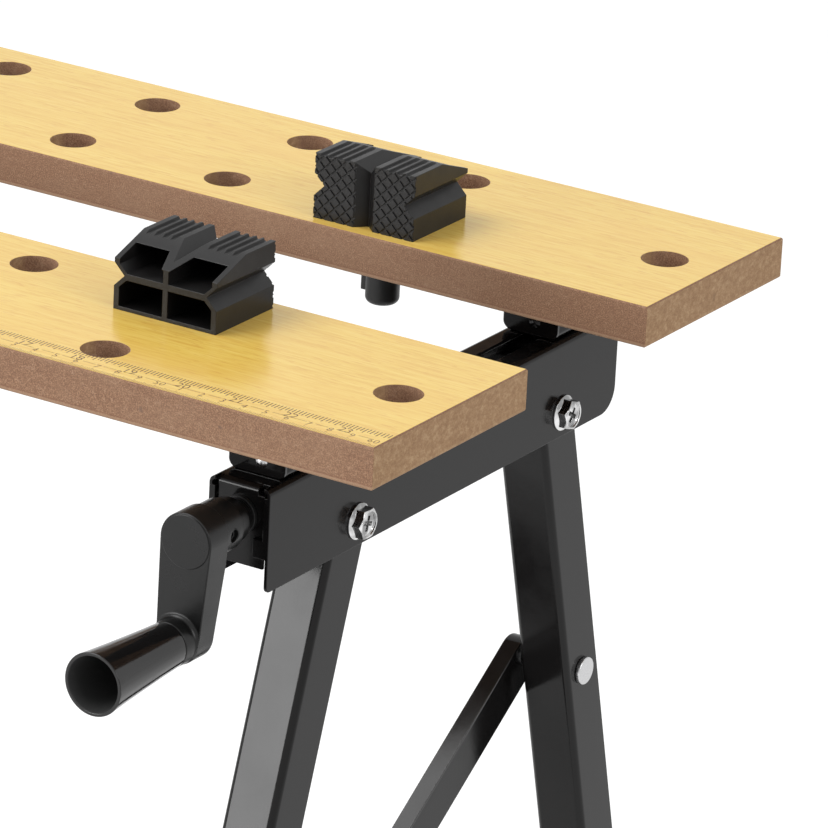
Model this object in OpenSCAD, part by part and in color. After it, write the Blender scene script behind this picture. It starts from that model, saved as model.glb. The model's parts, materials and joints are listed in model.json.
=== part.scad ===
// Folding workbench with a two-jaw vise top, two crank-driven vise screws,
// four swivelling bench pegs and a folding pair of leg frames.
// Millimetres. +X to the right, +Y to the back, +Z up, origin on the floor
// under the middle of the bench.

/* [Bench] */
// Height of the jaw tops above the floor
bench_h = 785; // [700:5:860]
// Open gap between the jaws at rest
jaw_gap = 94; // [60:1:100]
// Distance from a jaw's end in to the middle of its beam
beam_side = 73; // [65:1:85]
// Distance between the front and rear leg pivots
pivot_pitch = 160; // [156:1:170]

/* [Jaws] */
// Length of each jaw
jaw_l = 610; // [560:1:700]
// Width of each jaw
jaw_w = 114; // [104:1:118]
// Thickness of the jaw board
jaw_t = 18; // [16:0.5:22]
// Distance from the front leg pivots forward to the front jaw's middle
jaw_set = 28; // [26:1:30]
// Chamfer round the jaw edges
jaw_chamfer = 0.6; // [0.3:0.1:1.5]
// Diameter of the peg holes
hole_d = 20; // [18:0.5:22]
// Spacing of the peg holes along the jaw
hole_pitch = 81; // [70:1:90]
// Peg hole columns on each side of the middle one
hole_columns = 2; // [1:1:2]
// Distance from a jaw's long edge to its hole row
hole_edge = 24.5; // [22:0.5:28]
// Distance from a jaw's end to its end hole
end_hole_inset = 25; // [20:1:32]

/* [Beams] */
// Outer width of a beam
beam_w = 29; // [28:0.5:30]
// Outer height of a beam
beam_h = 44; // [42:0.5:50]
// Distance from the rear jaw's middle at rest back to the beam's end
beam_tail = 24; // [22:1:40]
// Distance from the front jaw's edge back to the beam's front
beam_inset = 19; // [16:1:22]
// Thickness of the beam sheet
beam_t = 1.5; // [1.2:0.1:2]
// Outer bend radius of the beam
beam_bend_r = 3; // [2.2:0.1:4]
// Radius of the rear lower corner of a beam
beam_rear_r = 11; // [6:0.5:14]
// Radius of the front lower corner of a beam
beam_front_r = 2.5; // [1:0.5:5]
// Width of the slot in the beam top for the nut's neck
slot_w = 10; // [8:0.5:12]
// Height of the beam's front plate
front_plate_h = 35; // [32:0.5:38]
// Height of the beam's rear plate
rear_plate_h = 24; // [21:0.5:25]
// Width of the tabs folded in front of the front plate
fold_w = 7.5; // [6:0.5:8]
// Height of these tabs
fold_h = 8; // [6:0.5:10]
// Width of the narrow flanges above the tabs
fold_lip = 3; // [2.6:0.1:4]
// Height of the tabs' lower end above the front plate's
fold_rise = 5; // [3:0.5:8]
// Depth of the narrow flanges' upper end below the beam top
fold_drop = 4; // [3.5:0.5:6]
// Width of the relief notch at the front plate's outer top corner
relief_w = 3.6; // [3:0.5:6]
// Depth of the relief notch below the beam top
relief_h = 4; // [3.2:0.1:6]
// Height of a leg pivot above the beam's lower edge
pivot_rise = 11; // [10:0.5:12]

/* [Jaw brackets] */
// Height of a jaw bracket
bracket_h = 20; // [17:0.5:24]
// Width of a jaw bracket
bracket_w = 27.5; // [25:0.5:30]
// Length of a jaw bracket
bracket_l = 52; // [46:1:58]
// Radius of the lower corners of a bracket
bracket_r = 4; // [3:0.5:6]
// Thickness of the bracket sheet
bracket_t = 1.5; // [1.2:0.1:2]
// Length of the brackets' screw lugs
lug_l = 14; // [10:1:16]
// Width of the second sheet behind a bracket's front plate
doubler_w = 15.5; // [12:0.5:18]
// Height of the second sheet behind a bracket's front plate
doubler_h = 17.5; // [12:0.5:18]
// Gap under the sliding brackets
slide_gap = 0.3; // [0.2:0.1:0.6]

/* [Vise screws] */
// Diameter of a vise screw
screw_d = 8; // [7:0.5:9]
// Depth of the vise screw's axis below the beam top
screw_drop = 13.7; // [13.2:0.1:14.2]
// Lead of the vise screw
screw_lead = 4; // [2:0.5:6]
// Extra opening travel past the rest gap
open_travel = 8; // [2:1:12]
// Width of the nut block
nut_w = 18; // [16:0.5:22]
// Length of the nut block
nut_l = 16; // [16:1:20]
// Wall of the nut under the screw
nut_floor = 2.2; // [1.8:0.1:2.6]
// Radial clearance of running shafts
run_gap = 0.05; // [0.02:0.01:0.1]
// Outer diameter of the thrust collar and washer
collar_d = 16; // [14:0.5:17]
// Length of the thrust collar
collar_l = 6; // [4:0.5:10]
// Thickness of the thrust washer
thrust_washer_t = 2; // [1.8:0.1:3]
// Axial clearance at the front plate
thrust_gap = 0.1; // [0.05:0.05:0.3]

/* [Cranks] */
// Crank radius, screw axis to knob axis
crank_l = 42; // [36:1:50]
// Lean of the crank arm at rest, towards the middle of the bench
crank_lean = 3; // [0:1:30]
// Radius of the arm's round end at the screw
arm_r = 12; // [11:0.5:14]
// Radius of the arm's round end at the knob
arm_tip_r = 10.2; // [9.8:0.1:12]
// Thickness of the arm at the screw
arm_t = 13; // [11:0.5:15]
// Thickness of the arm at the knob
arm_tip_t = 10; // [8:0.5:11]
// Radius of the hub step next to the arm
hub_r = 11; // [10.6:0.1:12]
// Radius of the hub behind its step
hub_end_r = 9.6; // [9.2:0.1:10.5]
// Radius of the hub's neck at the beam
neck_r = 7.2; // [6.5:0.1:8]
// Length of the hub's neck
neck_l = 5.5; // [3:0.5:7]
// Length of the hub step next to the arm
hub_step_l = 12; // [8:1:14]
// Length of the hub behind the arm
hub_l = 23.8; // [22:0.1:30]
// Radius of the knob's boss and small end
boss_r = 9.7; // [9:0.1:9.8]
// Length of the knob's boss
boss_l = 7.5; // [5:0.5:10]
// Radius of the concave root of the boss
boss_root_r = 2; // [1:0.5:5]
// Length of the knob
knob_l = 50; // [40:1:60]
// Radius of the knob's open end
knob_end_r = 13.2; // [12:0.1:15]
// Wall of the knob
knob_t = 1.5; // [1.2:0.1:2]
// Floor of the knob
knob_floor = 4; // [3:0.5:6]
// Diameter of the knob pin
knob_pin_d = 6; // [5:0.5:7]
// Diameter of the set screw
set_screw_d = 5; // [4:0.5:6]

/* [Legs] */
// Thickness of the leg sheet
leg_t = 1.5; // [1.2:0.1:2]
// Outer bend radius of a leg
leg_bend_r = 3; // [2.2:0.1:4]
// Lean of the front legs towards the front
front_splay = 17.5; // [14:0.5:19]
// Lean of the rear legs towards the back
rear_splay = 15; // [12:0.5:18]
// Height of the foot's solid sole along the leg
sole_h = 12; // [10:1:18]
// Wall of a foot round its leg
foot_wall = 2.2; // [1.8:0.1:2.4]
// Height of a foot round its leg
foot_h = 34; // [26:1:44]
// Clearance between a foot's plug and the inside of its leg
plug_gap = 0.5; // [0.4:0.1:1]
// Distance along the front leg from its lower end up to the step
step_up = 127; // [110:1:180]
// Distance between the rivets of the step and of the rail
tab_spread = 26; // [20:1:34]
// Length of an end tab past its rivets
tab_edge = 8; // [6:0.5:10]
// Depth of the step, front to back
step_w = 62; // [50:1:70]
// Height of the step's edges
step_h = 20; // [14:1:24]
// Distance along the rear leg from its lower end up to the cross rail
rail_up = 123; // [110:1:180]
// Width of the rear cross rail
rail_w = 30; // [24:1:36]
// Depth of the rear cross rail
rail_h = 15; // [12:1:18]

/* [Folding stays] */
// Distance along the rear leg from pivot to stay rivet
rear_stay_s = 135; // [125:1:145]
// Slope of the straight stay below the horizontal
stay_slope = 34.5; // [33:0.5:36]
// Share of the straight stay taken by the upper stay
upper_share = 0.5863; // [0.57:0.0001:0.6]
// Width of a stay
stay_w = 20; // [18:0.5:22]
// Distance from the upper stay's rivet to its round end
stay_end = 7; // [6.8:0.2:10]
// Depth of the upper stay's edges
stay_edge = 8.4; // [6:0.2:10]
// Thickness of the upper stay sheet
stay_t = 1.5; // [1.2:0.1:2]
// Thickness of the lower stay bar
bar_t = 2; // [2:0.5:3.5]
// Gap between the leg and the lower stay
bar_gap = 1.2; // [1.2:0.1:2]
// Gap between the two stays
stay_gap = 0.4; // [0.4:0.1:1]

/* [Pegs] */
// Width of a peg
peg_w = 50; // [44:1:54]
// Distance from pin to the grip face
peg_front = 18.5; // [16:0.5:20]
// Distance from pin to the hollow back
peg_back = 23.5; // [21:0.5:25]
// Height of a peg
peg_h = 29; // [26:0.5:32]
// Height of the lip at the back of a peg
peg_lip_h = 22; // [21:0.1:23]
// Length of the peg's flat top
peg_top_l = 21.5; // [18:0.5:24]
// Wall of a peg
peg_wall = 2.5; // [2:0.1:3]
// Depth of the side grooves
groove_d = 5; // [3:0.5:6]
// Height of the side grooves' middle
groove_z = 15; // [14:0.5:16]
// Depth of the notch in the grip face
notch_d = 5; // [3:0.5:6]
// Depth of the valley in the top
valley_d = 5.2; // [4:0.2:6]
// Ribs on each half of the top
rib_count = 5; // [3:1:6]
// Depth of the gaps between the ribs
rib_h = 1; // [0.8:0.1:1.8]
// Spacing of the diamond grooves along the grip face
knurl_pitch = 5.7; // [4.8:0.1:7]
// Width of the diamond grooves
knurl_w = 0.9; // [0.6:0.1:1.2]
// Depth of the diamond grooves
knurl_d = 0.6; // [0.3:0.1:1]
// Radial clearance of the peg in its hole
peg_gap = 0.15; // [0.1:0.05:0.4]
// Diameter of the peg's pin below the board
pin_d = 14.8; // [13:0.1:16]
// Length of the pin below the board
pin_reach = 19.5; // [16:0.5:24]
// Length of the pin's side rib below the board
rib_reach = 15; // [10:0.5:16]
// Width of the pin's side rib
pin_rib_w = 4.4; // [3:0.2:6]

/* [Fasteners] */
// Diameter of the leg bolts and stay rivets
bolt_d = 6; // [5:0.5:6.5]
// Width across flats of the leg bolt's head
bolt_af = 12; // [11:0.5:12.5]
// Diameter of the leg bolt's flange
flange_d = 15.6; // [14:0.2:17]
// Thickness of the leg bolt's flange at its rim
flange_t = 0.9; // [0.6:0.1:1.4]
// Rise of the flange from its rim to the hexagon
flange_rise = 1.1; // [0.4:0.1:1.6]
// Height of the leg bolt's head
head_h = 5.8; // [5:0.1:7]
// Narrowing of the leg bolt's round top face from the hexagon's flats
head_edge = 0.2; // [0:0.1:0.6]
// Width of the cross recess in the leg bolts
recess_w = 1.8; // [1.2:0.1:2.2]
// Length of the cross recess in the leg bolts
recess_l = 6.6; // [5:0.2:8]
// Turn of the front and of the rear leg bolts' heads
head_turns = [30, 14];
// Height of the leg nut
leg_nut_h = 5.4; // [4.6:0.1:6]
// Diameter of the nuts' flange
nut_flange_d = 14; // [13:0.5:15]
// Thickness of the washers beside the legs
washer_t = 0.95; // [0.6:0.05:1.2]
// Diameter of the stay rivet's head
rivet_head_d = 12.4; // [10:0.1:13]
// Height of the stay rivet's head
rivet_head_h = 2.2; // [1.5:0.1:4]
// Diameter of the small rivets
small_rivet_d = 5; // [4:0.5:6]
// Diameter of the wood screws
wood_screw_d = 4; // [3.5:0.5:5]
// Length of a wood screw in the board
wood_screw_l = 12; // [8:1:14]
// Clearance round screws in their holes
screw_clear = 0.05; // [0.02:0.01:0.2]

/* [Hidden] */
$fn = 48;
eps = 0.01;
beam_x = jaw_l / 2 - beam_side;
beam_top = bench_h - jaw_t - bracket_h;
pivot_z = beam_top - beam_h + pivot_rise;
screw_z = beam_top - screw_drop;
// The legs fill the beams' inside, less a washer and its clearance on each side.
leg_w = beam_w - 2 * (beam_t + washer_t + run_gap);
leg_half = leg_w / 2;
foot_half = leg_half + foot_wall;
function leg_reach(splay) = pivot_z * tan(splay) + foot_half / cos(splay);
mid_y = (leg_reach(front_splay) - leg_reach(rear_splay)) / 2;
front_pivot_y = mid_y - pivot_pitch / 2;
rear_pivot_y = mid_y + pivot_pitch / 2;
front_jaw_y = front_pivot_y - jaw_set;
rear_jaw_y = front_jaw_y + jaw_w + jaw_gap;
front_edge_y = front_jaw_y - jaw_w / 2;
beam_front_y = front_edge_y + beam_inset;
beam_rear_y = rear_jaw_y + beam_tail;
beam_l = beam_rear_y - beam_front_y;
plate_y = beam_front_y + beam_t;
plate_w = beam_w - 2 * beam_bend_r - 0.6;
// Leg length along its axis, so that the sole ends on the floor
function leg_l(splay) = pivot_z / cos(splay) - sole_h - foot_half * tan(splay);
front_leg_l = leg_l(front_splay);
rear_leg_l = leg_l(rear_splay);
step_s = front_leg_l - step_up;
rail_s = rear_leg_l - rail_up;
bar_x = -leg_half - bar_gap;
stay_x = bar_x - bar_t - stay_gap;
// Where the straight stay meets the front leg, from the two pivots
stay_dy = pivot_pitch + rear_stay_s * sin(rear_splay);
stay_dz = rear_stay_s * cos(rear_splay);
front_stay_s = (stay_dz + stay_dy * tan(stay_slope))
    / (cos(front_splay) - sin(front_splay) * tan(stay_slope));
stay_l = (stay_dy + front_stay_s * sin(front_splay)) / cos(stay_slope);
upper_l = stay_l * upper_share;
lower_l = stay_l - upper_l;
stay_turn = 90 - stay_slope;
arm_y = plate_y - thrust_washer_t - thrust_gap - hub_l - arm_t;
bolt_r = bolt_d / 2;
nut_corners = bolt_d + 5.5;
bracket_nut_h = bolt_d * 0.7;
nut_flange_t = bolt_d / 5;
bush_wall = bolt_d / 3;
leg_washer_r = bolt_d * 4 / 3;
wood_head_d = 2 * wood_screw_d;
wood_head_h = wood_screw_d / 2;
wood_drive_w = wood_screw_d / 5;
shaft_r = screw_d / 2;
nut_top = beam_top - beam_t - slide_gap;
nut_bottom = screw_z - shaft_r - nut_floor;
peg_x = 2 * hole_pitch;
black = [0.07, 0.07, 0.07];
plastic = [0.1, 0.1, 0.1];
zinc = [0.72, 0.73, 0.75];
board = [0.86, 0.74, 0.45];
nylon = [0.12, 0.12, 0.12];

// Extrusions of a flat outline along the bench's axes
module along_x(length) translate([-length / 2, 0, 0]) rotate([90, 0, 90]) linear_extrude(length) children();
module along_y(length) translate([0, length / 2, 0]) rotate([90, 0, 0]) linear_extrude(length) children();

// Cylinders along the bench's axes, starting at the origin
module rod_x(radius, length) rotate([0, 90, 0]) cylinder(r = radius, h = length);
module rod_y(radius, length) rotate([-90, 0, 0]) cylinder(r = radius, h = length);

// A part made for the right side, put on side 1 (right) or -1 (left)
module on_side(side) {
    if (side > 0) children();
    else mirror([1, 0, 0]) children();
}
module on_both_sides() for (side = [1, -1]) on_side(side) children();

// Frames at the pivots, with the leg pointing down its own -Z
module at_front_leg() translate([beam_x, front_pivot_y, pivot_z]) rotate([-front_splay, 0, 0]) children();
module at_rear_leg() translate([beam_x, rear_pivot_y, pivot_z]) rotate([rear_splay, 0, 0]) children();
module at_rear_stay() translate([beam_x, rear_pivot_y + rear_stay_s * sin(rear_splay),
    pivot_z - rear_stay_s * cos(rear_splay)]) rotate([-stay_turn, 0, 0]) children();

// Square with the two upper corners rounded, its top edge on the X axis
module arched(w, h, r) {
    translate([-w / 2, -h]) square([w, h - r]);
    translate([-w / 2 + r, -h]) square([w - 2 * r, h]);
    for (s = [1, -1]) translate([s * (w / 2 - r), -r]) circle(r);
}

// Folded channel section, its web on the X axis and its edges pointing down
module channel(w, h, t, r) difference() {
    arched(w, h, r);
    translate([0, -t]) arched(w - 2 * t, h, r - t);
}

// Bar outline with round ends, from the origin down to -length; drop lowers its upper end
module bar_outline(w, length, drop = 0) {
    translate([0, -drop]) circle(w / 2);
    translate([-w / 2, -length]) square([w, length - drop]);
    translate([0, -length]) circle(w / 2);
}

// Jaw board with its peg holes
module jaw_board() color(board) difference() {
    chamfered_board(jaw_l, jaw_w, jaw_t, jaw_chamfer);
    for (x = [-hole_columns:hole_columns], s = [1, -1])
        translate([x * hole_pitch, s * (jaw_w / 2 - hole_edge), -jaw_t - 1]) cylinder(d = hole_d, h = jaw_t + 2);
    for (s = [1, -1])
        translate([s * (jaw_l / 2 - end_hole_inset), 0, -jaw_t - 1]) cylinder(d = hole_d, h = jaw_t + 2);
    for (s = [1, -1], y = [1, -1])
        translate([s * beam_x, y * lug_y, -jaw_t - 1])
            cylinder(d = wood_screw_d + 2 * screw_clear, h = wood_screw_l + screw_clear + 1);
}

// Board with its top face at z = 0 and small chamfers round the top and bottom
module chamfered_board(l, w, t, c) intersection() {
    translate([-l / 2, -w / 2, -t]) cube([l, w, t]);
    along_x(l + 2) polygon([[-w / 2 + c, 0], [w / 2 - c, 0], [w / 2, -c], [w / 2, -t + c],
        [w / 2 - c, -t], [-w / 2 + c, -t], [-w / 2, -t + c], [-w / 2, -c]]);
    along_y(w + 2) polygon([[-l / 2 + c, 0], [l / 2 - c, 0], [l / 2, -c], [l / 2, -t + c],
        [l / 2 - c, -t], [-l / 2 + c, -t], [-l / 2, -t + c], [-l / 2, -c]]);
}
module front_jaw() translate([0, front_jaw_y, bench_h]) jaw_board();
module rear_jaw() translate([0, rear_jaw_y, bench_h]) jaw_board();

// Beam: folded channel open below, with end plates that carry the vise screw
module beam_outline() {
    y0 = beam_front_y;
    y1 = beam_rear_y;
    z0 = beam_top - beam_h;
    translate([y0, z0 + beam_rear_r]) square([beam_l, beam_h - beam_rear_r]);
    translate([y0 + beam_front_r, z0]) square([beam_l - beam_front_r - beam_rear_r, beam_h]);
    translate([y0, z0 + beam_front_r]) square([beam_l - beam_rear_r, beam_h - beam_front_r]);
    translate([y0 + beam_front_r, z0 + beam_front_r]) circle(beam_front_r);
    translate([y1 - beam_rear_r, z0 + beam_rear_r]) circle(beam_rear_r);
}

// Front plate and its bend from the beam top, in the Y-Z plane
module plate_outline() {
    r = beam_bend_r;
    z0 = beam_top - front_plate_h;
    translate([plate_y, z0]) square([beam_t, front_plate_h - r]);
    translate([plate_y + r, beam_top - beam_t]) square([r, beam_t]);
    intersection() {
        difference() {
            translate([plate_y + r, beam_top - r]) circle(r);
            translate([plate_y + r, beam_top - r]) circle(r - beam_t);
        }
        translate([plate_y, beam_top - r]) square([r, r]);
    }
}

module beam() color(black) difference() {
    union() {
        difference() {
            intersection() {
                translate([0, (beam_front_y + beam_rear_y) / 2, beam_top])
                    along_y(beam_l) channel(beam_w, beam_h, beam_t, beam_bend_r);
                along_x(beam_w) beam_outline();
            }
            translate([-beam_w / 2 + beam_bend_r, beam_front_y - 1, beam_top - beam_bend_r])
                cube([beam_w - 2 * beam_bend_r, beam_t + beam_bend_r + 1, beam_bend_r + 1]);
        }
        along_x(plate_w) plate_outline();
        for (s = [1, -1]) on_side(s) translate([0, beam_front_y, beam_top - front_plate_h + fold_rise]) {
            front_fold(fold_w, fold_h);
            front_fold(fold_lip, front_plate_h - fold_rise - fold_drop);
        }
        translate([-beam_w / 2 + beam_t - eps, beam_rear_y - beam_t, beam_top - rear_plate_h])
            cube([beam_w - 2 * beam_t + 2 * eps, beam_t, rear_plate_h - beam_t + eps]);
    }
    translate([0, beam_front_y - 1, screw_z]) rod_y(shaft_r + run_gap, beam_l + 2);
    for (y = [front_pivot_y, rear_pivot_y]) translate([-beam_w / 2 - 1, y, pivot_z])
        rod_x(bolt_r + run_gap, beam_w + 2);
    translate([0, front_jaw_y, beam_top - beam_t - 1]) cylinder(r = bolt_r + screw_clear, h = beam_t + 2);
    beam_slot();
    translate([beam_w / 2 - beam_bend_r - relief_w, beam_front_y - 1, beam_top - relief_h])
        cube([relief_w, beam_t + beam_bend_r + 1, relief_h + 1]);
}
module front_fold(w, h) translate([beam_w / 2 - w, 0, 0]) cube([w - beam_t / 2, beam_t, h]);

// Slot that the nut's neck runs in, from closed to fully open
module beam_slot() {
    neck = nut_l / 2 + slide_gap;
    y0 = rear_jaw_y - jaw_gap - neck;
    y1 = min(rear_jaw_y + open_travel + neck, beam_rear_y - beam_t - 1);
    translate([-slot_w / 2, y0, beam_top - beam_t - 1]) cube([slot_w, y1 - y0, beam_t + 2]);
}
module right_beam() translate([beam_x, 0, 0]) beam();
module left_beam() mirror([1, 0, 0]) right_beam();

// Jaw bracket: pressed tray with two screw lugs at the top.
// Its bottom is at z = 0 and its top at bracket_h - lift.
lug_y = (bracket_l - lug_l) / 2 - bracket_t / 2;
dome_x = 2;
dome_z = bracket_h - doubler_h + 3.4;
module bracket(lift) color(black) difference() {
    h = bracket_h - lift;
    union() {
        difference() {
            along_y(bracket_l) tray_outline(bracket_w, h, bracket_r);
            along_y(bracket_l - 2 * bracket_t)
                translate([0, bracket_t]) tray_outline(bracket_w - 2 * bracket_t, h, bracket_r - bracket_t);
        }
        for (s = [1, -1]) translate([-bracket_w / 2 + bracket_t / 2, s * lug_y - lug_l / 2, h - bracket_t])
            cube([bracket_w - bracket_t, lug_l, bracket_t]);
        translate([bracket_w / 2 - bracket_t / 2 - doubler_w, -bracket_l / 2 + bracket_t - eps, bracket_h - doubler_h])
            cube([doubler_w, bracket_t, doubler_h - lift - eps]);
    }
    for (s = [1, -1]) translate([0, s * lug_y, h - bracket_t - 1])
        cylinder(d = wood_screw_d + 2 * screw_clear, h = bracket_t + 2);
    translate([dome_x, -bracket_l / 2 - 1, dome_z]) rod_y(1.5 + screw_clear, 2 * bracket_t + 2);
}
module tray_outline(w, h, r) {
    translate([-w / 2, r]) square([w, h - r]);
    translate([-w / 2 + r, 0]) square([w - 2 * r, h]);
    for (s = [1, -1]) translate([s * (w / 2 - r), r]) circle(r);
}
module front_bracket() difference() {
    translate([beam_x, front_jaw_y, beam_top]) bracket(0);
    translate([beam_x, front_jaw_y, beam_top - 1]) cylinder(r = bolt_r + screw_clear, h = bracket_t + 2);
}
module rear_bracket() difference() {
    translate([beam_x, rear_jaw_y, beam_top + slide_gap]) bracket(slide_gap);
    for (s = [1, -1]) translate([beam_x, rear_jaw_y + s * nut_screw_y, beam_top - 1])
        cylinder(r = 2 + screw_clear, h = bracket_t + 3);
}
module right_front_bracket() front_bracket();
module left_front_bracket() mirror([1, 0, 0]) front_bracket();
module right_rear_bracket() rear_bracket();
module left_rear_bracket() mirror([1, 0, 0]) rear_bracket();

// Wood screw pointing up, its head under z = 0
module wood_screw(length) color(zinc) {
    translate([0, 0, -wood_head_h]) difference() {
        cylinder(d1 = wood_head_d * 7 / 8, d2 = wood_head_d, h = wood_head_h);
        for (a = [0, 90]) rotate(a) translate([-wood_head_h, -wood_drive_w / 2, -wood_head_h / 2])
            cube([2 * wood_head_h, wood_drive_w, wood_head_h]);
    }
    cylinder(d = wood_screw_d, h = length - 3);
    translate([0, 0, length - 3]) cylinder(d1 = wood_screw_d, d2 = 1, h = 3);
}
module jaw_screws(y) on_both_sides() for (s = [1, -1])
    translate([beam_x, y + s * lug_y, bench_h - jaw_t - bracket_t]) wood_screw(bracket_t + wood_screw_l);
module front_jaw_screws() jaw_screws(front_jaw_y);
module rear_jaw_screws() jaw_screws(rear_jaw_y);

// Bolts and nuts that hold the front brackets on the beams
module front_bracket_bolts() color(zinc) on_both_sides() translate([beam_x, front_jaw_y, beam_top]) {
    translate([0, 0, bracket_t]) cylinder(d = nut_corners, h = 4, $fn = 6);
    translate([0, 0, -beam_t - bracket_nut_h - 0.3])
        cylinder(r = bolt_r, h = beam_t + bracket_t + bracket_nut_h + 0.3);
}
module front_bracket_nuts() color(zinc) on_both_sides()
    translate([beam_x, front_jaw_y, beam_top - beam_t - bracket_nut_h]) difference() {
        cylinder(d = nut_corners, h = bracket_nut_h, $fn = 6);
        translate([0, 0, -1]) cylinder(r = bolt_r + screw_clear, h = bracket_nut_h + 2);
    }

// Dome rivets on the brackets' front plates
module bracket_rivets(y, z) color(zinc) on_both_sides() translate([beam_x + dome_x, y - bracket_l / 2, z]) {
    intersection() {
        translate([0, 1.6, 0]) sphere(r = 3.3);
        translate([-4, -4, -4]) cube([8, 4, 8]);
    }
    rod_y(1.5, 2 * bracket_t);
    translate([0, 2 * bracket_t, 0]) rod_y(2.6, 1);
}
module front_bracket_rivets() bracket_rivets(front_jaw_y, beam_top + dome_z);
module rear_bracket_rivets() bracket_rivets(rear_jaw_y, beam_top + dome_z + slide_gap);

// Vise nut: block under the beam top, its neck up through the slot
nut_screw_y = nut_l / 2 - 3;
neck_w = slot_w - 0.6;
module screw_nut() color(black) difference() {
    union() {
        translate([-nut_w / 2, -nut_l / 2, nut_bottom]) cube([nut_w, nut_l, nut_top - nut_bottom]);
        translate([-neck_w / 2, -nut_l / 2, nut_top - eps])
            cube([neck_w, nut_l, beam_top + slide_gap - nut_top + eps]);
    }
    translate([0, -nut_l / 2 - 1, screw_z]) rod_y(shaft_r + run_gap, nut_l + 2);
    for (s = [1, -1]) translate([0, s * nut_screw_y, nut_top - 3.2]) cylinder(r = 2 + screw_clear, h = 8);
}
module right_screw_nut() translate([beam_x, rear_jaw_y, 0]) screw_nut();
module left_screw_nut() mirror([1, 0, 0]) right_screw_nut();
module nut_screws() color(zinc) on_both_sides() for (s = [1, -1])
    translate([beam_x, rear_jaw_y + s * nut_screw_y, beam_top + slide_gap]) {
        translate([0, 0, bracket_t]) cylinder(d = 7, h = 2.4);
        translate([0, 0, -4]) cylinder(r = 2, h = 4 + bracket_t);
    }

// Vise screw from the crank hub to the beam's rear plate
screw_front_y = plate_y - thrust_washer_t - thrust_gap - hub_l + 2;
module vise_screw() color(zinc) translate([0, screw_front_y, screw_z])
    rod_y(shaft_r, beam_rear_y + 2 - screw_front_y);
module right_vise_screw() translate([beam_x, 0, 0]) vise_screw();
module left_vise_screw() mirror([1, 0, 0]) right_vise_screw();

module ring_y(outer_r, inner_r, length) difference() {
    rod_y(outer_r, length);
    translate([0, -1, 0]) rod_y(inner_r, length + 2);
}
module right_thrust_collar() color(zinc)
    translate([beam_x, plate_y + beam_t + thrust_gap, screw_z]) ring_y(collar_d / 2, shaft_r + run_gap, collar_l);
module left_thrust_collar() mirror([1, 0, 0]) right_thrust_collar();
module thrust_washers() color(nylon) on_both_sides() translate([beam_x, plate_y - thrust_washer_t, screw_z])
    ring_y(collar_d / 2, shaft_r + run_gap, thrust_washer_t);

// Crank: local frame at the screw axis, arm pointing down -Z, y = 0 at the arm's front face
tangent_a = asin((arm_r - arm_tip_r) / crank_l);
module arm_outline() {
    c = cos(tangent_a);
    s = sin(tangent_a);
    circle(arm_r);
    translate([0, -crank_l]) circle(arm_tip_r);
    polygon([[arm_r * c, -arm_r * s], [arm_tip_r * c, -crank_l - arm_tip_r * s],
        [-arm_tip_r * c, -crank_l - arm_tip_r * s], [-arm_r * c, -arm_r * s]]);
}

// Arm seen from the side, its back leaning forward towards the knob
module arm_side_outline() polygon([[0, arm_r + 1], [arm_t, arm_r + 1], [arm_t, -arm_r],
    [arm_tip_t, -crank_l - arm_tip_r - 1], [0, -crank_l - arm_tip_r - 1]]);

// Boss with a concave root, from y = 0 forwards
module boss() rotate([90, 0, 0]) rotate_extrude() difference() {
    square([boss_r + boss_root_r, boss_l]);
    translate([boss_r + boss_root_r, boss_root_r]) circle(boss_root_r);
    translate([boss_r, boss_root_r]) square([boss_root_r + 1, boss_l]);
}
module crank_arm() color(plastic) difference() {
    union() {
        intersection() {
            translate([0, arm_t / 2, 0]) along_y(arm_t) arm_outline();
            along_x(3 * arm_r) arm_side_outline();
        }
        intersection() {
            translate([0, 0, -crank_l]) boss();
            translate([0, -boss_l / 2, 0]) along_y(boss_l + 2 * eps) arm_outline();
        }
        translate([0, 0, -crank_l]) translate([0, eps, 0]) rotate([180, 0, 0]) rod_y(boss_r, boss_l + eps);
        translate([0, arm_t - eps, 0]) rod_y(hub_r, hub_step_l + eps);
        translate([0, arm_t, 0]) rod_y(hub_end_r, hub_l - neck_l);
        translate([0, arm_t, 0]) rod_y(neck_r, hub_l);
    }
    translate([0, screw_front_y - arm_y - 0.5, 0]) rod_y(shaft_r + screw_clear, hub_l + arm_t);
    translate([0, set_screw_y - arm_y, 0]) rod_x(set_screw_d / 2 + screw_clear, hub_r + 2);
    translate([0, -boss_l - 1, -crank_l]) rod_y(knob_pin_d / 2 + screw_clear, boss_l + 7);
}
module at_crank() translate([beam_x, arm_y, screw_z]) rotate([0, crank_lean, 0]) children();
module right_crank_arm() at_crank() crank_arm();
module left_crank_arm() mirror([1, 0, 0]) right_crank_arm();

// Set screw that locks the hub on the screw
set_screw_y = arm_y + arm_t + 5.6;
module set_screw() color(zinc) translate([shaft_r, set_screw_y - arm_y, 0]) difference() {
    rod_x(set_screw_d / 2, hub_end_r - shaft_r - 0.2);
    translate([hub_end_r - shaft_r - 2.2, 0, 0]) rotate([0, 90, 0]) cylinder(d = 2.8, h = 3, $fn = 6);
}
module right_set_screw() at_crank() set_screw();
module left_set_screw() mirror([1, 0, 0]) right_set_screw();

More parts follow.
